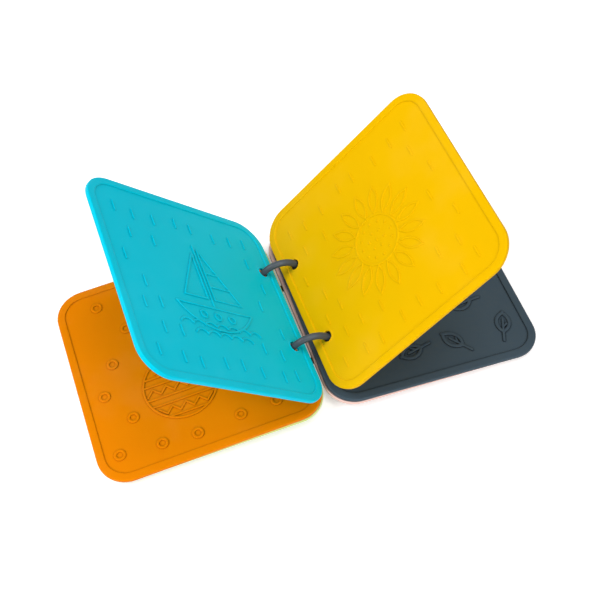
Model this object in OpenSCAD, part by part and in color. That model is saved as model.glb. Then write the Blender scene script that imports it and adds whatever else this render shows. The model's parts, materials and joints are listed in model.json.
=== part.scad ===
// Open bath book: six moulded silicone pages on two plain binding rings.
// The book lies open and face up: a cover and a page flat on each side, a raised page above each.
// All lengths are in millimetres. +X runs to the right, +Y to the far side, +Z up.
// The origin lies on the table, midway between the rings and under their common axis.

/* [Pages] */
// Side of each square page
page_w = 120; // [100:1:150]
// Radius of the page corners, in plan
corner_r = 16; // [8:1:24]
// Thickness of a page at its rim
page_t = 2.4; // [2:0.1:2.8]
// Width of the raised rim
rim_w = 4.4; // [3:0.1:6]
// Depth of the field below the rim, on each face
rim_step = 0.6; // [0.3:0.05:0.7]
// Rounding of the rim's four edges
edge_round = 0.55; // [0.3:0.05:0.8]
// Clearance between two pages when the book is shut
page_gap = 0.15; // [0.1:0.05:0.4]

/* [Binding] */
// Radius of a ring, to the middle of its wire
ring_r = 12; // [11:0.5:16]
// Diameter of a ring's wire
wire_d = 3.7; // [3:0.1:4.2]
// Distance between the two rings, along the spine
ring_pitch = 50; // [40:1:64]
// Clearance of the wire in a page hole, on each side
hole_clear = 0.12; // [0.1:0.02:0.5]
// Width of the lip around a hole
lip_w = 1; // [0.6:0.1:1.4]
// Height of the lip above the field
lip_rise = 0.2; // [0.1:0.05:0.25]
// Clearance of each cover from the middle of the spine
spine_clear = 0.4; // [0.2:0.1:1]

/* [Pose] */
// Angle of the raised left page above the table
left_angle = 45; // [20:1:70]
// Angle of the raised right page above the table
right_angle = 44; // [20:1:70]
// Turn of each raised page in its own plane, within its hole clearance
raised_skew = 1.1; // [0:0.1:1.2]
// Turn of each page that lies on a cover, within its hole clearance
stack_skew = 0.9; // [0:0.1:1.2]

/* [Relief] */
// Height of the relief above the field
relief_rise = 0.55; // [0.2:0.05:0.6]
// Height of the yellow page's softer relief above the field
soft_rise = 0.3; // [0.15:0.05:0.5]
// Width of a drawn line
line_w = 1.3; // [0.8:0.1:2]
// Length of a dash
dash_l = 7; // [4:0.5:10]
// Width of a dash
dash_w = 1.2; // [0.8:0.1:2]
// Distance between neighbouring dashes
dash_step = 14.5; // [12:0.5:20]
// Outer diameter of a small round ring of the pattern
hoop_d = 6.4; // [4:0.2:8]
// Distance between neighbouring small rings of the pattern
hoop_step = 21; // [16:0.5:26]
// Length of a leaf
leaf_l = 15; // [10:0.5:20]
// Width of a leaf
leaf_w = 9; // [6:0.5:12]
// Width of a leaf's outline
leaf_line = 2; // [1.2:0.1:2.4]
// Width of a leaf's stem and veins
vein_w = 1.5; // [0.8:0.1:2]
// Distance between neighbouring leaves
leaf_step = 26; // [23:0.5:34]
// Height of the boat drawing
boat_h = 58; // [40:1:66]
// Diameter of the sunflower drawing
flower_d = 62; // [44:1:70]
// Number of petals
petal_n = 16; // [12:1:20]
// Diameter of the ball drawing
ball_d = 40; // [30:1:50]
// Place of the ball's middle from the page's middle, across and along the spine
ball_at = [-8, -17]; // [-20:1:20]

/* [Hidden] */
$fn = 48;
LEFT = -1;
RIGHT = 1;

// Height of the rings' axis: the rings stand on the table.
axis_h = ring_r + wire_d / 2;
// Thickness of the field between the two faces.
field_t = page_t - 2 * rim_step;
// Shut, the six pages lie at even steps on both sides of the rings' axis.
page_pitch = page_t + page_gap;
raised_off = -page_pitch / 2;
stack_off = raised_off - page_pitch;
cover_off = stack_off - page_pitch;
// Depth of a cover's outer face below the axis.
cover_depth = page_t / 2 - cover_off;
// Length of a hole, lips included.
hole_t = field_t + 2 * lip_rise;
// Outermost and innermost point of a ring's wire within a hole, measured along the page.
function wire_far(off) = sqrt(pow(ring_r + wire_d / 2, 2) - pow(off + hole_t / 2, 2));
function wire_near(off) = sqrt(pow(ring_r - wire_d / 2, 2) - pow(off - hole_t / 2, 2));
// The wire takes most room in the covers' holes, where it passes at the steepest slant.
hole_d = wire_far(cover_off) - wire_near(cover_off) + 2 * hole_clear;

// Distance of a page's holes from the axis, measured along the page.
function reach(off) = (wire_far(off) + wire_near(off)) / 2;
// Slope of a page whose lower outer edge touches the table.
function slope(near) =
    asin((axis_h - edge_round) / norm([near + page_w - edge_round, cover_depth - edge_round]))
    - atan2(cover_depth - edge_round, near + page_w - edge_round);
// The covers' spine edges clear each other at that slope.
cover_near = cover_depth * tan(slope(0)) + spine_clear;
droop = slope(cover_near);
// Distance of the holes from the spine edge, the same on all pages.
hole_edge = reach(cover_off) - cover_near;

// Half width of the area that takes relief.
field_half = page_w / 2 - rim_w - 3;
// Distance of the holes from the page's middle.
hole_mid = page_w / 2 - hole_edge;

teal = [0.0, 0.66, 0.76];
amber = [0.96, 0.74, 0.02];
tangerine = [0.9, 0.46, 0.02];
slate = [0.2, 0.22, 0.24];
moss = [0.8, 0.86, 0.5];
blush = [0.93, 0.8, 0.77];
graphite = [0.3, 0.33, 0.36];

// Square with round corners, centred.
module soft_square(side, radius) {
    straight = side - 2 * radius;
    square([side, straight], center = true);
    square([straight, side], center = true);
    for (sx = [-1, 1], sy = [-1, 1])
        translate([sx * straight / 2, sy * straight / 2])
            circle(r = radius);
}

// Section of the rim: its outer face is at x = 0 and its width runs inwards, to -x.
module rim_section() {
    translate([-rim_w, edge_round - page_t / 2])
        square([rim_w, page_t - 2 * edge_round]);
    translate([edge_round - rim_w, -page_t / 2])
        square([rim_w - 2 * edge_round, page_t]);
    for (x = [edge_round - rim_w, -edge_round], sy = [-1, 1])
        translate([x, sy * (page_t / 2 - edge_round)])
            circle(r = edge_round, $fn = 24);
}

// The rim is its section carried along the four sides and turned round the four corners.
module rim() {
    straight = page_w - 2 * corner_r;
    for (turn = [0:90:270])
        rotate([0, 0, turn]) {
            translate([page_w / 2, straight / 2, 0])
                rotate([90, 0, 0])
                    linear_extrude(height = straight)
                        rim_section();
            translate([straight / 2, straight / 2, 0])
                rotate_extrude(angle = 90)
                    translate([corner_r, 0])
                        rim_section();
        }
}

// One page about its own middle, with its holes on the side that faces the spine.
// The children are the relief of its upper face, as flat outlines of one height above the field.
module sheet(side, rise = relief_rise) {
    difference() {
        union() {
            rim();
            translate([0, 0, -field_t / 2])
                linear_extrude(height = field_t)
                    soft_square(page_w - rim_w, corner_r - rim_w / 2);
            for (sy = [-1, 1])
                translate([-side * hole_mid, sy * ring_pitch / 2, 0])
                    cylinder(d = hole_d + 2 * lip_w, h = hole_t, center = true);
            if ($children > 0)
                linear_extrude(height = field_t / 2 + rise)
                    children();
        }
        for (sy = [-1, 1])
            translate([-side * hole_mid, sy * ring_pitch / 2, 0])
                cylinder(d = hole_d, h = 2 * page_t, center = true);
    }
}

// Seats a page on the rings: lift is its angle above the table, off its offset from the axis.
module bound(side, lift, off, skew) {
    translate([0, 0, axis_h])
        rotate([0, -side * lift, 0])
            translate([side * reach(off), 0, off])
                rotate([0, 0, side * skew])
                    translate([side * hole_mid, 0, 0])
                        children();
}

// Straight line with round ends.
module stroke(from, to, width) {
    run = to - from;
    translate(from)
        rotate(atan2(run[1], run[0])) {
            translate([0, -width / 2])
                square([norm(run), width]);
            circle(d = width, $fn = 20);
            translate([norm(run), 0])
                circle(d = width, $fn = 20);
        }
}

// Line through several points.
module path(points, width) {
    for (i = [0:len(points) - 2])
        stroke(points[i], points[i + 1], width);
}

// Part of a circle's line, from one angle to another less than 180 degrees on.
module bow(radius, start, end, width) {
    far = 2 * radius;
    intersection() {
        difference() {
            circle(r = radius + width / 2);
            circle(r = radius - width / 2);
        }
        polygon([
            [0, 0],
            far * [cos(start), sin(start)],
            far * [cos((start + end) / 2), sin((start + end) / 2)],
            far * [cos(end), sin(end)]
        ]);
    }
    for (a = [start, end])
        translate(radius * [cos(a), sin(a)])
            circle(d = width, $fn = 20);
}

// Pointed oval between two arcs, along +Y from the origin, drawn as a line.
module blade(length, width, line) {
    radius = (pow(length, 2) + pow(width, 2)) / (4 * width);
    sink = radius - width / 2;
    translate([0, length / 2])
        difference() {
            intersection_for(s = [-1, 1])
                translate([s * sink, 0])
                    circle(r = radius, $fn = 96);
            intersection_for(s = [-1, 1])
                translate([s * sink, 0])
                    circle(r = radius - line, $fn = 96);
        }
}

// Places of a scattered pattern: a staggered grid from a corner place, pushed about by a fixed
// wave, clear of a round drawing at centre, of the rim and of the holes.
// Each place is [x, y, column, row].
function scatter(step, start, margin, side, centre, keep_out, push) =
    let (count = ceil(page_w / min(step)))
    [
        for (row = [0:count], col = [-1:count])
            let (
                stagger = (row % 2 == 0) ? 0 : step[0] / 2,
                p = start + [
                    col * step[0] + stagger + push * sin(137 * col + 71 * row),
                    row * step[1] + push * cos(97 * col - 53 * row)
                ],
                to_hole = min([
                    for (sy = [-1, 1])
                        norm(p - [-side * hole_mid, sy * ring_pitch / 2])
                ])
            )
            if (max(abs(p[0]), abs(p[1])) < field_half - margin
                && norm([max(0, abs(p[0]) + corner_r - page_w / 2),
                         max(0, abs(p[1]) + corner_r - page_w / 2)]) < corner_r - rim_w - margin
                && norm(p - centre) > keep_out
                && to_hole > hole_d / 2 + lip_w + margin + 1)
                [p[0], p[1], col, row]
    ];

module dashes(side, keep_out) {
    margin = dash_l / 2;
    step = [0.9 * dash_step, dash_step];
    for (p = scatter(step, [-47, -46], margin, side, [0, 0], keep_out + margin, 1.6))
        translate([p[0], p[1]])
            stroke([0, (dash_w - dash_l) / 2], [0, (dash_l - dash_w) / 2], dash_w);
}

module hoops(side, centre, keep_out) {
    margin = hoop_d / 2;
    step = [hoop_step, 0.88 * hoop_step];
    for (p = scatter(step, [-48, -46], margin, side, centre, keep_out + margin, 1.5))
        translate([p[0], p[1]])
            difference() {
                circle(d = hoop_d, $fn = 32);
                circle(d = hoop_d - 2 * line_w - 0.6, $fn = 24);
            }
}

module leaves(side) {
    stem = 0.28 * leaf_l;
    margin = 0.42 * leaf_l;
    step = [leaf_step, 0.85 * leaf_step];
    for (p = scatter(step, [-35, -40], margin, side, [0, 0], 0, 1.5))
        translate([p[0], p[1]])
            rotate(165 - 62 * p[2] + 55 * p[3])
                translate([0, (stem - leaf_l) / 2]) {
                    blade(leaf_l, leaf_w, leaf_line);
                    stroke([0, -stem], [0, 0.62 * leaf_l], vein_w);
                    stroke([0, 0.3 * leaf_l], [0.13 * leaf_l, 0.44 * leaf_l], vein_w);
                }
}

// Sailing boat on two rows of waves, centred on its middle.
module boat() {
    h = boat_h;
    deck = -0.2 * h;
    foot = deck + 0.1 * h;
    bow_r = 0.5 * h;
    bow_dip = 0.24 * h;
    half_deck = sqrt(pow(bow_r, 2) - pow(bow_r - bow_dip, 2));
    spread = asin(half_deck / bow_r);
    stroke([-half_deck, deck], [half_deck, deck], line_w);
    translate([0, deck + bow_r - bow_dip])
        bow(bow_r, 270 - spread, 270 + spread, line_w);
    stroke([0, deck], [0, 0.5 * h], line_w);
    path([[0.04 * h, 0.46 * h], [0.36 * h, foot], [0.04 * h, foot], [0.04 * h, 0.46 * h]], line_w);
    path([[-0.04 * h, 0.4 * h], [-0.3 * h, foot], [-0.04 * h, foot], [-0.04 * h, 0.4 * h]], line_w);
    for (k = [0.3, 0.6])
        stroke([0.04 * h, foot + k * 0.5 * h], [(0.36 - 0.3 * k) * h, foot + k * 0.5 * h], dash_w);
    for (x = [-0.16:0.16:0.16])
        translate([x * h, deck - 0.09 * h])
            difference() {
                circle(r = 0.035 * h + line_w / 2, $fn = 32);
                circle(r = 0.035 * h - line_w / 2, $fn = 32);
            }
    wave = 0.075 * h;
    for (row = [0, 1], i = [-3 + row:3 - row])
        translate([2 * i * wave * sin(60), -0.45 * h - row * 0.09 * h])
            bow(wave, 30, 150, dash_w);
}

// Sunflower: a ring of petals round a seeded disc.
module sunflower() {
    disc_r = 0.23 * flower_d;
    petal_l = flower_d / 2 - disc_r;
    petal_w = 2 * disc_r * sin(180 / petal_n) * 1.12;
    difference() {
        circle(r = disc_r);
        circle(r = disc_r - line_w);
    }
    for (i = [0:petal_n - 1])
        rotate(360 * i / petal_n)
            translate([0, disc_r - line_w / 2])
                blade(petal_l, petal_w, 0.8 * line_w);
    for (row = [0:2], i = [0:max(0, 6 * row - 1)])
        rotate(60 * i / max(1, row) + 15 * row)
            translate([0, row * disc_r / 2.9])
                circle(d = 1.2 * line_w, $fn = 20);
}

// Ball with zigzag bands.
module ball() {
    r = ball_d / 2;
    tooth = ball_d / 10;
    difference() {
        circle(r = r);
        circle(r = r - line_w);
    }
    intersection() {
        circle(r = r - line_w / 2);
        for (y = [-0.62 * r, 0, 0.62 * r]) {
            for (s = [-1, 1])
                stroke([-r, y + s * tooth], [r, y + s * tooth], dash_w);
            path([for (i = [-6:6]) [i * tooth * 0.9, y + (i % 2 == 0 ? 1 : -1) * tooth * 0.45]], dash_w);
        }
    }
}

module cover_green() {
    color(moss)
        bound(LEFT, -droop, cover_off, 0)
            sheet(LEFT);
}

module page_orange() {
    color(tangerine)
        bound(LEFT, -droop, stack_off, -stack_skew)
            sheet(LEFT) {
                hoops(LEFT, ball_at, ball_d / 2 + 2);
                translate(ball_at)
                    ball();
            }
}

module page_turquoise() {
    color(teal)
        bound(LEFT, left_angle, raised_off, -raised_skew)
            sheet(LEFT) {
                dashes(LEFT, 0.56 * boat_h);
                boat();
            }
}

module page_yellow() {
    color(amber)
        bound(RIGHT, right_angle, raised_off, raised_skew)
            sheet(RIGHT, soft_rise) {
                dashes(RIGHT, flower_d / 2 + 1);
                sunflower();
            }
}

module page_charcoal() {
    color(slate)
        bound(RIGHT, -droop, stack_off, -stack_skew)
            sheet(RIGHT)
                leaves(RIGHT);
}

module cover_pink() {
    color(blush)
        bound(RIGHT, -droop, cover_off, 0)
            sheet(RIGHT);
}

module binding_ring(y) {
    color(graphite)
        translate([0, y, axis_h])
            rotate([90, 0, 0])
                rotate_extrude()
                    translate([ring_r, 0])
                        circle(d = wire_d, $fn = 32);
}

module ring_upper() {
    binding_ring(ring_pitch / 2);
}

module ring_lower() {
    binding_ring(-ring_pitch / 2);
}

cover_green();
page_orange();
page_turquoise();
page_yellow();
page_charcoal();
cover_pink();
ring_upper();
ring_lower();
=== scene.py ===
"""Looks of an open bath book: six moulded silicone pages on two plain binding rings."""

import json
import math

import bmesh
import bpy
import numpy as np
from mathutils import Matrix


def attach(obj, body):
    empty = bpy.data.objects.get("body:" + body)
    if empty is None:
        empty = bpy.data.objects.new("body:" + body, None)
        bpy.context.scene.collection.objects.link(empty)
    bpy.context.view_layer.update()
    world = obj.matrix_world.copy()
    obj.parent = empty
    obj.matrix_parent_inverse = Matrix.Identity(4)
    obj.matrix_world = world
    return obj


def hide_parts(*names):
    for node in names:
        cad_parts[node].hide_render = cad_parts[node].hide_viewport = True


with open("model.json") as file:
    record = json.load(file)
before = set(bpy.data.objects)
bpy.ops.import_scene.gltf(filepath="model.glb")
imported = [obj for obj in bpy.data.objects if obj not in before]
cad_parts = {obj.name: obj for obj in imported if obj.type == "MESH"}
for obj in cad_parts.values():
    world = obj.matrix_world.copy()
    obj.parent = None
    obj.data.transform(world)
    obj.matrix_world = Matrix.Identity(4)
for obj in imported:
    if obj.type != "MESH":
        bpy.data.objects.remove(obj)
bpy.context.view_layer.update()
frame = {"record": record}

# Sizes of the book in millimetres, as it was moulded
MM = 0.001
PAGE_W = 120.0
CORNER_R = 16.0
PAGE_T = 2.4
RIM_W = 4.4
RIM_STEP = 0.6
EDGE_ROUND = 0.55
PAGE_GAP = 0.15
RING_R = 12.0
WIRE_D = 3.7
RING_PITCH = 50.0
HOLE_CLEAR = 0.12
LIP_W = 1.0
LIP_RISE = 0.2
SPINE_CLEAR = 0.4
LEFT_ANGLE = 45.0
RIGHT_ANGLE = 44.0
RAISED_SKEW = 1.1
STACK_SKEW = 0.9
RELIEF_RISE = 0.55
SOFT_RISE = 0.3
LINE_W = 1.3
DASH_L = 7.0
DASH_W = 1.2
DASH_STEP = 14.5
HOOP_D = 6.4
HOOP_STEP = 21.0
LEAF_L = 15.0
LEAF_W = 9.0
LEAF_LINE = 2.0
VEIN_W = 1.5
LEAF_STEP = 26.0
BOAT_H = 58.0
FLOWER_D = 62.0
PETAL_N = 16
BALL_D = 40.0
BALL_AT = (-8.0, -17.0)
FIELD_MARGIN = 3.0
HOLE_MARGIN = 1.0
LEFT = -1
RIGHT = 1

# Scattered patterns: place of the first one, the shorter step as a share of the longer, how far
# a place is pushed about, and the width of a small ring's line
DASH_START = (-47, -46)
DASH_SQUEEZE = 0.9
DASH_PUSH = 1.6
HOOP_START = (-48, -46)
HOOP_SQUEEZE = 0.88
HOOP_PUSH = 1.5
HOOP_LINE = LINE_W + 0.3
LEAF_START = (-35, -40)
LEAF_SQUEEZE = 0.85
LEAF_PUSH = 1.5

# Turns in degrees for each column and each row: of the wave that pushes the places, and of the
# leaves, which start from the turn of the leaf in column and row 0
WAVE_X = (137, 71)
WAVE_Y = (97, -53)
LEAF_TURN = (255, -62, 55)

# Parts of a leaf as shares of its length
LEAF_STEM = 0.28
LEAF_MARGIN = 0.42
VEIN_END = 0.62
SIDE_VEIN_FROM = 0.3
SIDE_VEIN_TO = (0.44, 0.13)

# Places that follow from the sizes
AXIS_H = frame["record"]["behaviour"]["joints"][0]["pos_m"][2] / MM
FIELD_Z = PAGE_T / 2 - RIM_STEP
FIELD_T = PAGE_T - 2 * RIM_STEP
PITCH = PAGE_T + PAGE_GAP
RAISED_OFF = -PITCH / 2
STACK_OFF = RAISED_OFF - PITCH
COVER_OFF = STACK_OFF - PITCH
COVER_DEPTH = PAGE_T / 2 - COVER_OFF
HOLE_T = FIELD_T + 2 * LIP_RISE


def wire_far(off):
    """Outermost point of a ring's wire within a hole, measured along the page."""
    return math.sqrt((RING_R + WIRE_D / 2) ** 2 - (off + HOLE_T / 2) ** 2)


def wire_near(off):
    """Innermost point of a ring's wire within a hole, measured along the page."""
    return math.sqrt((RING_R - WIRE_D / 2) ** 2 - (off - HOLE_T / 2) ** 2)


def reach(off):
    """Distance of a page's holes from the rings' axis, along the page."""
    return (wire_far(off) + wire_near(off)) / 2


def slope(near):
    """Slope in radians of a cover whose lower outer edge touches the table."""
    run = near + PAGE_W - EDGE_ROUND
    fall = COVER_DEPTH - EDGE_ROUND
    return math.asin((AXIS_H - EDGE_ROUND) / math.hypot(run, fall)) - math.atan2(fall, run)


COVER_NEAR = COVER_DEPTH * math.tan(slope(0)) + SPINE_CLEAR
DROOP = math.degrees(slope(COVER_NEAR))
HOLE_D = wire_far(COVER_OFF) - wire_near(COVER_OFF) + 2 * HOLE_CLEAR
HOLE_EDGE = reach(COVER_OFF) - COVER_NEAR
HOLE_MID = PAGE_W / 2 - HOLE_EDGE
FIELD_HALF = PAGE_W / 2 - RIM_W - FIELD_MARGIN


def turn(angle, axis):
    """4x4 turn by degrees about the x, y or z axis."""
    c = math.cos(math.radians(angle))
    s = math.sin(math.radians(angle))
    m = np.eye(4)
    i, j = {"x": (1, 2), "y": (2, 0), "z": (0, 1)}[axis]
    m[i, i] = m[j, j] = c
    m[j, i] = s
    m[i, j] = -s
    return m


def shift(x, y, z):
    """4x4 move along the three axes."""
    m = np.eye(4)
    m[:3, 3] = (x, y, z)
    return m


def bound(side, lift, off, skew):
    """Place of a page on the rings: lift is its angle above the table, off its offset from the
    axis and skew its turn in its own plane."""
    return (shift(0, 0, AXIS_H) @ turn(-side * lift, "y") @ shift(side * reach(off), 0, off)
            @ turn(side * skew, "z") @ shift(side * HOLE_MID, 0, 0))


def make_piece(name, points, faces, place=None, smooth=True, merge=False):
    """Mesh object from millimetre points and faces, at the origin with its place in its mesh."""
    pts = np.asarray(points, float)
    if place is not None:
        pts = pts @ place[:3, :3].T + place[:3, 3]
    mesh = bpy.data.meshes.new(name)
    mesh.from_pydata((pts * MM).tolist(), [], faces)
    if merge:
        bm = bmesh.new()
        bm.from_mesh(mesh)
        bmesh.ops.remove_doubles(bm, verts=bm.verts, dist=1e-6)
        bmesh.ops.recalc_face_normals(bm, faces=bm.faces)
        bm.to_mesh(mesh)
        bm.free()
    mesh.polygons.foreach_set("use_smooth", np.full(len(mesh.polygons), smooth))
    mesh.validate()
    mesh.update()
    obj = bpy.data.objects.new(name, mesh)
    bpy.context.scene.collection.objects.link(obj)
    return obj


def grid_faces(rows, cols, closed=True, start=0, reverse=False):
    """Quads of a rows by cols grid of points; closed joins the last column to the first."""
    i = np.arange(rows - 1)[:, None]
    j = np.arange(cols if closed else cols - 1)[None, :]
    k = (j + 1) % cols
    quads = np.stack([i * cols + j, i * cols + k, (i + 1) * cols + k, (i + 1) * cols + j], -1)
    quads = quads.reshape(-1, 4) + start
    return quads[:, ::-1] if reverse else quads


# Resolution of a page: one cell is a millimetre, so that the hole patches meet the field
CELL = 1.0
CORNER_CELLS = 12
HOLE_BLOCK = 4
ROUND_POINTS = 7

# Rows of a page's section: the foot of the rim's inner wall, and the flat of the rim
FOOT_OUT = 0.14
FOOT_IN = 0.02
FOOT_RISE = 0.01
FLAT_IN = 0.8
FLAT_OUT = 0.6

# Section of the lip round a hole: run inwards from its foot and height, then run outwards from
# the hole's wall and drop below the lip's top
LIP_OUTER = ((-0.08, 0.0), (0.08, 0.03), (0.26, 0.15), (0.45, LIP_RISE))
LIP_INNER = ((0.3, 0.0), (0.13, 0.04), (0.03, 0.15), (0.0, 0.35))


def outline():
    """Core points and outward normals round a rounded square: a point at depth d lies at
    core + (corner radius - d) * normal, on the straights and in the corners alike."""
    half = PAGE_W / 2 - CORNER_R
    along = np.arange(-half, half + CELL / 2, CELL)
    arc = np.radians(np.arange(1, CORNER_CELLS) * 90 / CORNER_CELLS)
    cores = []
    normals = []
    for k in range(4):
        a = k * math.pi / 2
        n = np.array([math.cos(a), math.sin(a)])
        t = np.array([-n[1], n[0]])
        cores += [half * n + along[:, None] * t, np.tile(half * (n + t), (len(arc), 1))]
        normals += [np.tile(n, (len(along), 1)),
                    np.cos(arc)[:, None] * n + np.sin(arc)[:, None] * t]
    return np.vstack(cores), np.vstack(normals)


def face_section():
    """Depth and height of one face, from the field's core out to the middle of the edge:
    flat field, steep foot, quarter round up to the rim, flat rim, quarter round."""
    top = PAGE_T / 2
    a = np.radians(np.linspace(0, 90, ROUND_POINTS))
    round_in = EDGE_ROUND * (1 - np.cos(a))
    round_up = EDGE_ROUND * (1 - np.sin(a))
    field = [CORNER_R, (CORNER_R + HOLE_EDGE + HOLE_BLOCK) / 2]
    field += [HOLE_EDGE + k * CELL for k in range(HOLE_BLOCK, -HOLE_BLOCK - 1, -1)]
    rows = [(d, FIELD_Z) for d in field]
    rows += [(RIM_W + FOOT_OUT, FIELD_Z), (RIM_W + FOOT_IN, FIELD_Z + FOOT_RISE)]
    rows += list(zip(RIM_W - round_in, top - round_up))
    rows += [(RIM_W / 2 + FLAT_IN, top), (RIM_W / 2 - FLAT_OUT, top)]
    rows += list(zip(round_in[::-1], (top - round_up)[::-1]))
    return np.array(rows)


def page_body(side):
    """Points and quads of a page about its middle: one section carried round the outline,
    a flat grid inside it on both faces, and a lipped tube through each hole."""
    core, normal = outline()
    upper = face_section()
    section = np.vstack([upper, (upper * [1, -1])[::-1]])
    ring = core[None] + (CORNER_R - section[:, 0])[:, None, None] * normal[None]
    height = np.broadcast_to(section[:, 1, None, None], ring.shape[:2] + (1,))
    points = np.concatenate([ring, height], -1)
    rows, cols = ring.shape[:2]
    points = points.reshape(-1, 3)
    quads = grid_faces(rows, cols)
    mid = points[quads].mean(1)
    keep = np.ones(len(quads), bool)
    block = HOLE_BLOCK * CELL
    for sy in (-1, 1):
        away = np.abs(mid[:, :2] - [-side * HOLE_MID, sy * RING_PITCH / 2]).max(1)
        keep &= (away > block) | (np.abs(mid[:, 2]) > FIELD_Z + FOOT_RISE)
    quads = [quads[keep]]
    points = [points]
    count = rows * cols
    half = PAGE_W / 2 - CORNER_R
    line = np.arange(-half, half + CELL / 2, CELL)
    gx, gy = np.meshgrid(line, line)
    for z, flip in ((FIELD_Z, False), (-FIELD_Z, True)):
        points.append(np.stack([gx.ravel(), gy.ravel(), np.full(gx.size, z)], -1))
        quads.append(grid_faces(len(line), len(line), False, count, flip))
        count += gx.size
    steps = np.arange(-HOLE_BLOCK, HOLE_BLOCK) * CELL
    side_a = np.stack([np.full(len(steps), block), steps], -1)
    quarters = ((1, 0), (0, 1), (-1, 0), (0, -1))
    square = np.vstack([side_a @ np.array([[c, s], [-s, c]]) for c, s in quarters])
    unit = square / np.linalg.norm(square, axis=1)[:, None]
    r = HOLE_D / 2
    lip = [(r + LIP_W - run, rise) for run, rise in LIP_OUTER]
    lip += [(r + run, LIP_RISE - drop) for run, drop in LIP_INNER]
    rows = [(unit * q, FIELD_Z + z) for q, z in lip]
    rows = [(square, FIELD_Z)] + rows + [(p, -z) for p, z in rows[::-1]] + [(square, -FIELD_Z)]
    for sy in (-1, 1):
        middle = np.array([-side * HOLE_MID, sy * RING_PITCH / 2])
        tube = np.vstack([np.column_stack([p + middle, np.full(len(p), z)]) for p, z in rows])
        points.append(tube)
        quads.append(grid_faces(len(rows), len(square), True, count))
        count += len(tube)
    return np.vstack(points), np.vstack(quads)


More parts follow.
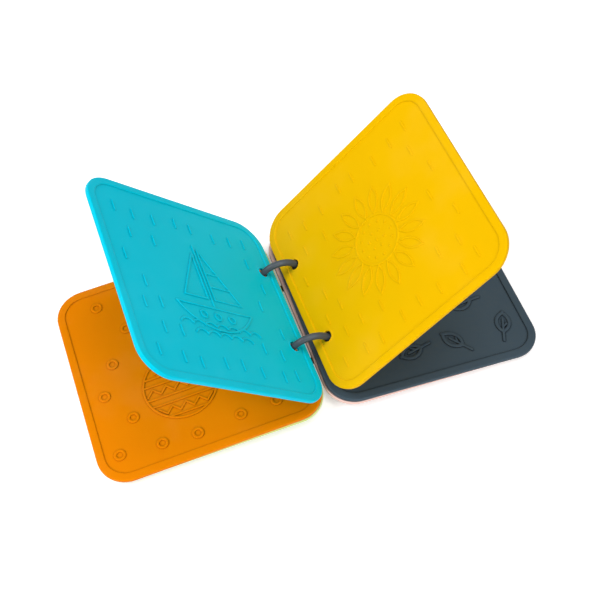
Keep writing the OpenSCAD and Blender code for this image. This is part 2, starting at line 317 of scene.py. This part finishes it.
class Relief:
    """Raised lines of one drawing: each is a rounded section carried along a path in the page's
    plane. FULLNESS shapes the section, SUNK is the depth of its feet as a share of its rise,
    END_TURN are the degrees of the round end and END_FALL lowers it."""

    SECTION = 13
    FULLNESS = 0.8
    SUNK = 0.5
    END_TURN = (25, 48, 66, 80, 88)
    END_FALL = 0.6

    def __init__(self, rise=RELIEF_RISE, middle=(0.0, 0.0)):
        self.rise = rise
        self.middle = np.array(middle)
        self.points = []
        self.faces = []
        self.count = 0

    def section(self):
        """Across and height of the line, as shares of its half width and its rise: an arch a
        little fuller than a half circle, where |across|**2.5 + height**2.5 = 1, on two feet
        that are sunk in the field."""
        a = np.linspace(0, math.pi, self.SECTION)
        across = np.sign(np.cos(a)) * np.abs(np.cos(a)) ** self.FULLNESS
        height = np.sin(a) ** self.FULLNESS
        return np.r_[1.0, across, -1.0], np.r_[-self.SUNK, height, -self.SUNK]

    def tube(self, path, tangent, width, scale, lift):
        """Carries the section along the path; scale narrows and lift lowers it at the ends."""
        across, height = self.section()
        normal = np.stack([-tangent[:, 1], tangent[:, 0]], -1)
        flat = path[:, None] + (width / 2 * scale)[:, None, None] * across[None, :, None] * normal[:, None]
        up = FIELD_Z + self.rise * np.where(height > 0, height * lift[:, None], height)
        return np.concatenate([flat, up[..., None]], -1)

    def add(self, grid, closed):
        """Keeps one line's grid of points: closed joins its last row to its first, and an open
        one gets a flat cap at each end."""
        rows, cols = grid.shape[:2]
        flat = grid.reshape(-1, 3) + [*self.middle, 0.0]
        faces = grid_faces(rows, cols, True, self.count).tolist()
        if closed:
            a = self.count + (rows - 1) * cols + np.arange(cols)
            b = self.count + np.arange(cols)
            faces += np.stack([a, np.roll(a, -1), np.roll(b, -1), b], -1).tolist()
        else:
            faces.append((self.count + np.arange(cols))[::-1].tolist())
            faces.append((self.count + (rows - 1) * cols + np.arange(cols)).tolist())
        self.points.append(flat)
        self.faces += faces
        self.count += len(flat)

    def line(self, path, width=LINE_W):
        """Open line with round ends: past each end the section shrinks as a quarter circle."""
        path = np.asarray(path, float)
        tangent = np.gradient(path, axis=0)
        tangent /= np.linalg.norm(tangent, axis=1)[:, None]
        tau = np.sin(np.radians(self.END_TURN))
        head = path[:1] - width / 2 * tau[::-1, None] * tangent[:1]
        tail = path[-1:] + width / 2 * tau[:, None] * tangent[-1:]
        fall = np.sqrt(1 - tau ** 2)
        scale = np.r_[fall[::-1], np.ones(len(path)), fall]
        whole = np.vstack([head, path, tail])
        ends = len(tau)
        ways = np.vstack([np.repeat(tangent[:1], ends, 0), tangent, np.repeat(tangent[-1:], ends, 0)])
        self.add(self.tube(whole, ways, width, scale, scale ** self.END_FALL), False)

    def stroke(self, start, end, width=LINE_W):
        """Straight line between two points."""
        start = np.asarray(start, float)
        end = np.asarray(end, float)
        self.line(start + np.linspace(0, 1, 4)[:, None] * (end - start), width)

    def path(self, corners, width=LINE_W):
        """Straight lines from corner to corner."""
        for a, b in zip(corners[:-1], corners[1:]):
            self.stroke(a, b, width)

    def bow(self, centre, radius, start, end, count, width=LINE_W):
        """Part of a circle between two angles in degrees."""
        a = np.radians(np.linspace(start, end, count))
        self.line(np.asarray(centre) + radius * np.stack([np.cos(a), np.sin(a)], -1), width)

    def hoop(self, centre, radius, width=LINE_W, count=28):
        """Whole circle."""
        a = np.arange(count) * 2 * math.pi / count
        path = np.asarray(centre) + radius * np.stack([np.cos(a), np.sin(a)], -1)
        tangent = np.stack([-np.sin(a), np.cos(a)], -1)
        one = np.ones(count)
        self.add(self.tube(path, tangent, width, one, one), True)

    def dot(self, centre, diameter, count=16):
        """Low round dome: rings of points that rise as a quarter circle."""
        a = np.arange(count) * 2 * math.pi / count
        rise = np.radians([-30, 0, 30, 55, 75, 86])
        rings = [np.column_stack([centre[0] + diameter / 2 * math.cos(max(b, 0)) * np.cos(a),
                                  centre[1] + diameter / 2 * math.cos(max(b, 0)) * np.sin(a),
                                  np.full(count, FIELD_Z + self.rise * math.sin(b))]) for b in rise]
        self.add(np.stack(rings), False)

    def blade(self, base, angle, length, width, line):
        """Pointed oval between two equal arcs, from its base along a direction in degrees."""
        radius = (length ** 2 + width ** 2) / (4 * width)
        half = math.degrees(math.asin(length / 2 / radius))
        a = np.radians(np.linspace(-half, half, 16))
        bulge = radius * (np.cos(a) - math.cos(math.radians(half))) - line / 2
        bulge = np.maximum(bulge, 0)
        along = length / 2 + radius * np.sin(a) * (1 - line / length)
        c = math.cos(math.radians(angle))
        s = math.sin(math.radians(angle))
        for side in (-1, 1):
            local = np.stack([along, side * bulge], -1)
            self.line(np.asarray(base) + local @ np.array([[c, s], [-s, c]]), line)

    def piece(self, name, place):
        """All lines of the drawing as one object."""
        return make_piece(name, np.vstack(self.points), self.faces, place, merge=True)


def scatter(step, start, margin, side, centre, keep_out, push):
    """Places of a scattered pattern: a staggered grid from a corner place, pushed about by a fixed
    wave, clear of a round drawing at centre, of the rim and of the holes. Each place is x, y,
    column and row."""
    count = math.ceil(PAGE_W / min(step))
    places = []
    for row in range(count + 1):
        for col in range(-1, count + 1):
            stagger = 0 if row % 2 == 0 else step[0] / 2
            turn_x = math.radians(WAVE_X[0] * col + WAVE_X[1] * row)
            turn_y = math.radians(WAVE_Y[0] * col + WAVE_Y[1] * row)
            x = start[0] + col * step[0] + stagger + push * math.sin(turn_x)
            y = start[1] + row * step[1] + push * math.cos(turn_y)
            past = [max(0, abs(v) + CORNER_R - PAGE_W / 2) for v in (x, y)]
            to_hole = min(math.hypot(x + side * HOLE_MID, y - sy * RING_PITCH / 2) for sy in (-1, 1))
            if (max(abs(x), abs(y)) < FIELD_HALF - margin
                    and math.hypot(*past) < CORNER_R - RIM_W - margin
                    and math.hypot(x - centre[0], y - centre[1]) > keep_out
                    and to_hole > HOLE_D / 2 + LIP_W + margin + HOLE_MARGIN):
                places.append((x, y, col, row))
    return places


def dashes(side, keep_out, rise=RELIEF_RISE):
    """Short upright dashes round a drawing in the middle of the page."""
    relief = Relief(rise)
    margin = DASH_L / 2
    step = (DASH_SQUEEZE * DASH_STEP, DASH_STEP)
    half = (DASH_L - DASH_W) / 2
    for x, y, _, _ in scatter(step, DASH_START, margin, side, (0, 0), keep_out + margin, DASH_PUSH):
        relief.stroke((x, y - half), (x, y + half), DASH_W)
    return relief


def hoops(side, centre, keep_out):
    """Small rings round a drawing at centre."""
    relief = Relief()
    margin = HOOP_D / 2
    step = (HOOP_STEP, HOOP_SQUEEZE * HOOP_STEP)
    for x, y, _, _ in scatter(step, HOOP_START, margin, side, centre, keep_out + margin, HOOP_PUSH):
        relief.hoop((x, y), (HOOP_D - HOOP_LINE) / 2, HOOP_LINE)
    return relief


def leaves(side):
    """Pointed leaves, each with a stem, a middle vein and one side vein."""
    relief = Relief()
    stem = LEAF_STEM * LEAF_L
    margin = LEAF_MARGIN * LEAF_L
    step = (LEAF_STEP, LEAF_SQUEEZE * LEAF_STEP)
    for x, y, col, row in scatter(step, LEAF_START, margin, side, (0, 0), 0, LEAF_PUSH):
        angle = LEAF_TURN[0] + LEAF_TURN[1] * col + LEAF_TURN[2] * row
        way = np.array([math.cos(math.radians(angle)), math.sin(math.radians(angle))])
        across = np.array([way[1], -way[0]])
        base = np.array((x, y)) + way * (stem - LEAF_L) / 2
        vein_tip = LEAF_L * (SIDE_VEIN_TO[0] * way + SIDE_VEIN_TO[1] * across)
        relief.blade(base, angle, LEAF_L, LEAF_W, LEAF_LINE)
        relief.stroke(base - stem * way, base + VEIN_END * LEAF_L * way, VEIN_W)
        relief.stroke(base + SIDE_VEIN_FROM * LEAF_L * way, base + vein_tip, VEIN_W)
    return relief


def boat():
    """Sailing boat on two rows of waves; its places and sizes are shares of its height."""
    relief = Relief()
    h = BOAT_H
    deck = -0.2 * h
    mast_top = 0.5 * h
    mast_gap = 0.04 * h
    boom = deck + 0.1 * h
    hull_r = 0.5 * h
    hull_depth = 0.24 * h
    half_deck = math.sqrt(hull_r ** 2 - (hull_r - hull_depth) ** 2)
    spread = math.degrees(math.asin(half_deck / hull_r))
    relief.stroke((-half_deck, deck), (half_deck, deck))
    relief.bow((0, deck + hull_r - hull_depth), hull_r, 270 - spread, 270 + spread, 32)
    relief.stroke((0, deck), (0, mast_top))
    for way, width, top in ((1, 0.36 * h, 0.46 * h), (-1, 0.3 * h, 0.4 * h)):
        luff = way * mast_gap
        relief.path([(luff, top), (way * width, boom), (luff, boom), (luff, top)])
    for share in (0.3, 0.6):
        batten = boom + share * 0.5 * h
        relief.stroke((mast_gap, batten), ((0.36 - 0.3 * share) * h, batten), DASH_W)
    porthole_r = 0.035 * h
    for x in (-0.16 * h, 0, 0.16 * h):
        relief.hoop((x, deck - 0.09 * h), porthole_r)
    wave_r = 0.075 * h
    wave_step = 2 * wave_r * math.sin(math.radians(60))
    sea = -0.45 * h
    for row in (0, 1):
        for i in range(-3 + row, 4 - row):
            relief.bow((i * wave_step, sea - row * 0.09 * h), wave_r, 30, 150, 12, DASH_W)
    return relief


def sunflower():
    """Ring of petals round a disc of seeds, which stand in a middle one and two rings."""
    relief = Relief(SOFT_RISE)
    disc_r = 0.23 * FLOWER_D
    petal_from = disc_r - LINE_W / 2
    petal_l = FLOWER_D / 2 - disc_r
    petal_w = 2 * disc_r * math.sin(math.pi / PETAL_N) * 1.12
    petal_line = 0.8 * LINE_W
    seed_d = 1.2 * LINE_W
    seed_step = disc_r / 2.9
    relief.hoop((0, 0), petal_from, count=64)
    for i in range(PETAL_N):
        angle = 90 + 360 * i / PETAL_N
        base = (petal_from * math.cos(math.radians(angle)), petal_from * math.sin(math.radians(angle)))
        relief.blade(base, angle, petal_l, petal_w, petal_line)
    for row in range(3):
        for i in range(max(1, 6 * row)):
            a = math.radians(90 + 60 * i / max(1, row) + 15 * row)
            relief.dot((row * seed_step * math.cos(a), row * seed_step * math.sin(a)), seed_d)
    return relief


def ball():
    """Ball with three zigzag bands, cut off at its outline."""
    relief = Relief(middle=BALL_AT)
    edge = (BALL_D - LINE_W) / 2
    band_step = 0.62 * BALL_D / 2
    band_half = BALL_D / 10
    zig_run = 0.9 * band_half
    zig_rise = 0.45 * band_half
    relief.hoop((0, 0), edge, count=64)
    for y in (-band_step, 0, band_step):
        for level in (y - band_half, y + band_half):
            half = math.sqrt(edge ** 2 - level ** 2)
            relief.stroke((-half, level), (half, level), DASH_W)
        zig = [(i * zig_run, y + (zig_rise if i % 2 == 0 else -zig_rise)) for i in range(-6, 7)]
        for a, b in zip(zig[:-1], zig[1:]):
            if math.hypot(*a) < edge and math.hypot(*b) < edge:
                relief.stroke(a, b, DASH_W)
    return relief


def binding_ring(name, y):
    """Torus round the rings' axis, which runs along Y: a circle of the wire's radius carried
    round a circle of the ring's radius, in steps of degrees."""
    ring_step = 3.75
    wire_step = 15
    big = np.radians(np.arange(0, 360, ring_step))[:, None]
    small = np.radians(np.arange(0, 360, wire_step))[None, :]
    out = RING_R + WIRE_D / 2 * np.cos(small)
    points = np.stack([out * np.cos(big), y + WIRE_D / 2 * np.sin(small) + 0 * big,
                       AXIS_H + out * np.sin(big)], -1)
    rows, cols = points.shape[:2]
    i = np.arange(rows)[:, None]
    j = np.arange(cols)[None, :]
    i2 = (i + 1) % rows
    j2 = (j + 1) % cols
    quads = np.stack([i * cols + j, i2 * cols + j, i2 * cols + j2, i * cols + j2], -1)
    return make_piece(name, points.reshape(-1, 3), quads.reshape(-1, 4), merge=True)


def socket(group, name, kind, way, value=None):
    """Adds a named input or output to a node group."""
    item = group.interface.new_socket(name=name, in_out=way, socket_type=kind)
    if value is not None:
        item.default_value = value


# Values that all moulded materials share; the reach of the painted crease shade and the depth of the grain
# are in metres
TONE_DRIFT = 0.05
PAINTED_SHADE_REACH = 0.0012
GRAIN_STRENGTH = 0.35
GRAIN_DEPTH = 0.00002


def moulded_finish_and_painted_shade():
    """Group for moulded surfaces: slow drifts of tone, painted shade that darkens the colour in creases at
    the foot of rims and lines and between parts, a fine mould grain with small dimples, and dull patches
    where hands have touched it."""
    group = bpy.data.node_groups.new("moulded_finish_and_painted_shade", "ShaderNodeTree")
    socket(group, "Colour", "NodeSocketColor", "INPUT")
    socket(group, "Tone drift", "NodeSocketFloat", "INPUT", 0.05)
    socket(group, "Grain scale", "NodeSocketFloat", "INPUT", 2600.0)
    socket(group, "Roughness", "NodeSocketFloat", "INPUT", 0.45)
    socket(group, "Dulling", "NodeSocketFloat", "INPUT", 0.1)
    socket(group, "Painted crease shade", "NodeSocketFloat", "INPUT", 1.0)
    socket(group, "Colour", "NodeSocketColor", "OUTPUT")
    socket(group, "Roughness", "NodeSocketFloat", "OUTPUT")
    socket(group, "Height", "NodeSocketFloat", "OUTPUT")
    nodes = group.nodes
    links = group.links
    src = nodes.new("NodeGroupInput")
    out = nodes.new("NodeGroupOutput")
    place = nodes.new("ShaderNodeTexCoord")

    def noise(scale, detail, rough=0.5):
        node = nodes.new("ShaderNodeTexNoise")
        node.inputs["Scale"].default_value = scale
        node.inputs["Detail"].default_value = detail
        node.inputs["Roughness"].default_value = rough
        links.new(place.outputs["Object"], node.inputs["Vector"])
        return node

    def calc(kind, a, b, clamp=False):
        node = nodes.new("ShaderNodeMath")
        node.operation = kind
        node.use_clamp = clamp
        for k, v in enumerate((a, b)):
            if isinstance(v, float):
                node.inputs[k].default_value = v
            else:
                links.new(v, node.inputs[k])
        return node.outputs[0]

    drift = noise(26.0, 3.0)
    cloud = noise(90.0, 4.0, 0.6)
    grain = noise(1.0, 2.0)
    links.new(src.outputs["Grain scale"], grain.inputs["Scale"])
    dimple = nodes.new("ShaderNodeTexVoronoi")
    dimple.inputs["Scale"].default_value = 1100.0
    links.new(place.outputs["Object"], dimple.inputs["Vector"])
    slow = calc("MULTIPLY", drift.outputs["Fac"], 0.7)
    both = calc("ADD", slow, calc("MULTIPLY", cloud.outputs["Fac"], 0.3))
    swing = calc("MULTIPLY", calc("SUBTRACT", both, 0.5), src.outputs["Tone drift"])
    tone = nodes.new("ShaderNodeHueSaturation")
    links.new(src.outputs["Colour"], tone.inputs["Color"])
    # Painted shade: an occlusion probe darkens the colour in creases, at the foot of rims and lines, in
    # holes and between pages; a power on the probe sets how strong it is
    near = nodes.new("ShaderNodeAmbientOcclusion")
    near.samples = 6
    near.inputs["Distance"].default_value = PAINTED_SHADE_REACH
    painted_crease_shade = calc("POWER", near.outputs["AO"], src.outputs["Painted crease shade"])
    value = calc("ADD", calc("MULTIPLY", swing, 2.0), 1.0)
    links.new(calc("MULTIPLY", value, painted_crease_shade), tone.inputs["Value"])
    links.new(calc("SUBTRACT", 1.0, swing), tone.inputs["Saturation"])
    links.new(tone.outputs["Color"], out.inputs["Colour"])
    dull = calc("MULTIPLY", calc("SUBTRACT", cloud.outputs["Fac"], 0.45), src.outputs["Dulling"])
    links.new(calc("ADD", src.outputs["Roughness"], dull, True), out.inputs["Roughness"])
    fine = calc("MULTIPLY", grain.outputs["Fac"], 0.6)
    pits = calc("MULTIPLY", dimple.outputs["Distance"], 0.4)
    links.new(calc("ADD", fine, pits), out.inputs["Height"])
    return group


FINISH_AND_PAINTED_SHADE = moulded_finish_and_painted_shade()


def moulded_material(name, colour, roughness, specular, tint=(1.0, 1.0, 1.0), painted_crease_shade=1.0, grain=2600.0):
    """Satin moulded material; colour is linear, tint colours the gloss, the argument after tint is how
    strongly painted shade darkens the creases and grain how fine the mould grain is."""
    mat = bpy.data.materials.new(name)
    mat.use_nodes = True
    nodes = mat.node_tree.nodes
    links = mat.node_tree.links
    shader = nodes["Principled BSDF"]
    finish_and_painted_shade = nodes.new("ShaderNodeGroup")
    finish_and_painted_shade.node_tree = FINISH_AND_PAINTED_SHADE
    finish_and_painted_shade.inputs["Colour"].default_value = (*colour, 1)
    finish_and_painted_shade.inputs["Tone drift"].default_value = TONE_DRIFT
    finish_and_painted_shade.inputs["Roughness"].default_value = roughness
    finish_and_painted_shade.inputs["Grain scale"].default_value = grain
    finish_and_painted_shade.inputs["Painted crease shade"].default_value = painted_crease_shade
    links.new(finish_and_painted_shade.outputs["Colour"], shader.inputs["Base Color"])
    links.new(finish_and_painted_shade.outputs["Roughness"], shader.inputs["Roughness"])
    relief = nodes.new("ShaderNodeBump")
    relief.inputs["Strength"].default_value = GRAIN_STRENGTH
    relief.inputs["Distance"].default_value = GRAIN_DEPTH
    links.new(finish_and_painted_shade.outputs["Height"], relief.inputs["Height"])
    links.new(relief.outputs["Normal"], shader.inputs["Normal"])
    shader.inputs["Specular IOR Level"].default_value = specular
    shader.inputs["Specular Tint"].default_value = (*tint, 1)
    return mat


# The argument after tint, given by keyword on the charcoal, is the strength of the painted shade in the
# creases; green, pink and the rings keep 1.0
TURQUOISE = moulded_material("turquoise_silicone", (0.0, 0.52, 0.69), 0.42, 0.07, (0.3, 1.0, 1.0), 0.85)
YELLOW = moulded_material("yellow_silicone", (0.74, 0.41, 0.0), 0.5, 0.04, (1.0, 0.9, 0.3), 0.25)
ORANGE = moulded_material("orange_silicone", (0.75, 0.20, 0.0), 0.48, 0.06, (1.0, 0.6, 0.3), 1.0)
CHARCOAL = moulded_material("charcoal_silicone", (0.054, 0.081, 0.105), 0.45, 0.04, painted_crease_shade=4.5)
GREEN = moulded_material("green_silicone", (0.66, 0.75, 0.26), 0.5, 0.1)
PINK = moulded_material("pink_silicone", (0.82, 0.57, 0.51), 0.5, 0.1)
RING_GREY = moulded_material("ring_plastic", (0.05, 0.062, 0.075), 0.36, 0.3, grain=1800.0)

# Node, body, slot, material, place and drawings of each page
PAGES = {
    "green_cover": ("cover_green", "green", "green_silicone", GREEN,
                    bound(LEFT, -DROOP, COVER_OFF, 0), LEFT, {}),
    "orange_page": ("page_orange", "orange", "orange_silicone", ORANGE,
                    bound(LEFT, -DROOP, STACK_OFF, -STACK_SKEW), LEFT,
                    {"hoops": hoops(LEFT, BALL_AT, BALL_D / 2 + 2), "ball": ball()}),
    "turquoise_page": ("page_turquoise", "turquoise", "turquoise_silicone", TURQUOISE,
                       bound(LEFT, LEFT_ANGLE, RAISED_OFF, -RAISED_SKEW), LEFT,
                       {"dashes": dashes(LEFT, 0.56 * BOAT_H), "boat": boat()}),
    "yellow_page": ("page_yellow", "yellow", "yellow_silicone", YELLOW,
                    bound(RIGHT, RIGHT_ANGLE, RAISED_OFF, RAISED_SKEW), RIGHT,
                    {"dashes": dashes(RIGHT, FLOWER_D / 2 + 1, SOFT_RISE), "sunflower": sunflower()}),
    "charcoal_page": ("page_charcoal", "charcoal", "charcoal_silicone", CHARCOAL,
                      bound(RIGHT, -DROOP, STACK_OFF, -STACK_SKEW), RIGHT, {"leaves": leaves(RIGHT)}),
    "pink_cover": ("cover_pink", "pink", "pink_silicone", PINK,
                   bound(RIGHT, -DROOP, COVER_OFF, 0), RIGHT, {}),
}

for name, (node, body, slot, material, place, side, drawings) in PAGES.items():
    points, quads = page_body(side)
    page = make_piece(name, points, quads.tolist(), place, merge=True)
    pieces = [page] + [relief.piece(f"{name}_{what}", place) for what, relief in drawings.items()]
    for piece in pieces:
        piece.data.materials.append(material)
        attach(piece, body)
    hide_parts(node)

for which, y in (("upper", RING_PITCH / 2), ("lower", -RING_PITCH / 2)):
    ring = binding_ring(f"binding_ring_{which}", y)
    ring.data.materials.append(RING_GREY)
    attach(ring, f"ring_{which}")
    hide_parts(f"ring_{which}")


def floor():
    """Pale floor that keeps the shadow, is nearly white to the camera and fades to plain white
    away from the book."""
    mat = bpy.data.materials.new("pale_floor")
    mat.use_nodes = True
    nodes = mat.node_tree.nodes
    links = mat.node_tree.links
    nodes.clear()
    out = nodes.new("ShaderNodeOutputMaterial")
    add = nodes.new("ShaderNodeAddShader")
    matt = nodes.new("ShaderNodeBsdfDiffuse")
    matt.inputs["Color"].default_value = (0.92, 0.92, 0.92, 1)
    glow = nodes.new("ShaderNodeEmission")
    path = nodes.new("ShaderNodeLightPath")
    where = nodes.new("ShaderNodeTexCoord")
    away = nodes.new("ShaderNodeVectorMath")
    away.operation = "LENGTH"
    fade = nodes.new("ShaderNodeMapRange")
    for key, value in (("From Min", 0.25), ("From Max", 0.8), ("To Min", 0.34), ("To Max", 1.0)):
        fade.inputs[key].default_value = value
    gain = nodes.new("ShaderNodeMath")
    gain.operation = "MULTIPLY"
    links.new(where.outputs["Object"], away.inputs[0])
    links.new(away.outputs["Value"], fade.inputs["Value"])
    links.new(fade.outputs["Result"], gain.inputs[1])
    links.new(path.outputs["Is Camera Ray"], gain.inputs[0])
    links.new(gain.outputs[0], glow.inputs["Strength"])
    links.new(matt.outputs[0], add.inputs[0])
    links.new(glow.outputs[0], add.inputs[1])
    links.new(add.outputs[0], out.inputs["Surface"])
    half = 1500
    corners = [(-half, -half, 0), (half, -half, 0), (half, half, 0), (-half, half, 0)]
    plane = make_piece("floor", corners, [(0, 1, 2, 3)], smooth=False)
    plane.data.materials.append(mat)


def studio_world(level):
    """Soft even light, with plain white where the camera or a glossy surface sees it."""
    world = bpy.data.worlds.new("studio")
    bpy.context.scene.world = world
    world.use_nodes = True
    nodes = world.node_tree.nodes
    links = world.node_tree.links
    shade = nodes["Background"]
    path = nodes.new("ShaderNodeLightPath")
    seen = nodes.new("ShaderNodeMath")
    seen.operation = "MAXIMUM"
    either = nodes.new("ShaderNodeMath")
    either.operation = "MAXIMUM"
    blend = nodes.new("ShaderNodeMapRange")
    blend.inputs["To Min"].default_value = level
    blend.inputs["To Max"].default_value = 1.0
    links.new(path.outputs["Is Camera Ray"], seen.inputs[0])
    links.new(path.outputs["Is Glossy Ray"], seen.inputs[1])
    links.new(seen.outputs[0], either.inputs[0])
    links.new(path.outputs["Is Transmission Ray"], either.inputs[1])
    links.new(either.outputs[0], blend.inputs["Value"])
    links.new(blend.outputs["Result"], shade.inputs["Strength"])
    shade.inputs["Color"].default_value = (1, 1, 1, 1)


# Lamps of the studio: place and power of each, in metres and watts
LAMP_AIM = (0, 0, 0.03)
LAMP_SIZE = 0.6
LAMPS = {
    "left": ((-0.72, 0.15, 0.95), 8.0),
    "low_left": ((-1.0, -0.3, 0.55), 3.2),
    "top": ((0.25, 0, 1.15), 4.4),
    "right_front": ((0.3, -0.7, 0.9), 4.6),
    "low_front": ((0, -1.2, 0.3), 3.4),
}


def softbox(name, place, power):
    """Square area lamp at a place in metres that faces the book."""
    light = bpy.data.lights.new(name, "AREA")
    light.shape = "SQUARE"
    light.size = LAMP_SIZE
    light.energy = power
    lamp = bpy.data.objects.new(name, light)
    bpy.context.scene.collection.objects.link(lamp)
    back = np.array(place, float) - np.array(LAMP_AIM, float)
    back /= np.linalg.norm(back)
    right = np.cross((0.0, 1.0, 0.0) if abs(back[2]) > 0.9 else (0.0, 0.0, 1.0), back)
    right /= np.linalg.norm(right)
    up = np.cross(back, right)
    m = np.eye(4)
    m[:3, 0], m[:3, 1], m[:3, 2], m[:3, 3] = right, up, back, place
    lamp.matrix_world = Matrix(m.tolist())


def photo_camera():
    """Camera at the photograph's place: its heading right of +Y, its pitch below the horizon and
    its roll were found from the page edges and holes."""
    eye = np.array([-92.2, -288.4, AXIS_H + 456.5]) * MM
    heading = math.radians(18.315)
    pitch = math.radians(55.761)
    roll = math.radians(-1.254)
    focal_px = 1016.5
    photo_px = 600
    sensor = 36
    ahead = np.array([math.sin(heading) * math.cos(pitch), math.cos(heading) * math.cos(pitch),
                      -math.sin(pitch)])
    level = np.array([math.cos(heading), -math.sin(heading), 0])
    upright = np.cross(level, ahead)
    right = math.cos(roll) * level + math.sin(roll) * upright
    up = math.cos(roll) * upright - math.sin(roll) * level
    data = bpy.data.cameras.new("camera")
    data.sensor_width = sensor
    data.lens = sensor * focal_px / photo_px
    data.clip_start = 0.01
    cam = bpy.data.objects.new("camera", data)
    bpy.context.scene.collection.objects.link(cam)
    m = np.eye(4)
    m[:3, 0], m[:3, 1], m[:3, 2], m[:3, 3] = right, up, -ahead, eye
    cam.matrix_world = Matrix(m.tolist())
    bpy.context.scene.camera = cam


floor()
studio_world(0.2)
for name, (place, power) in LAMPS.items():
    softbox(name, place, power)
photo_camera()
bpy.context.scene.view_settings.view_transform = "Standard"
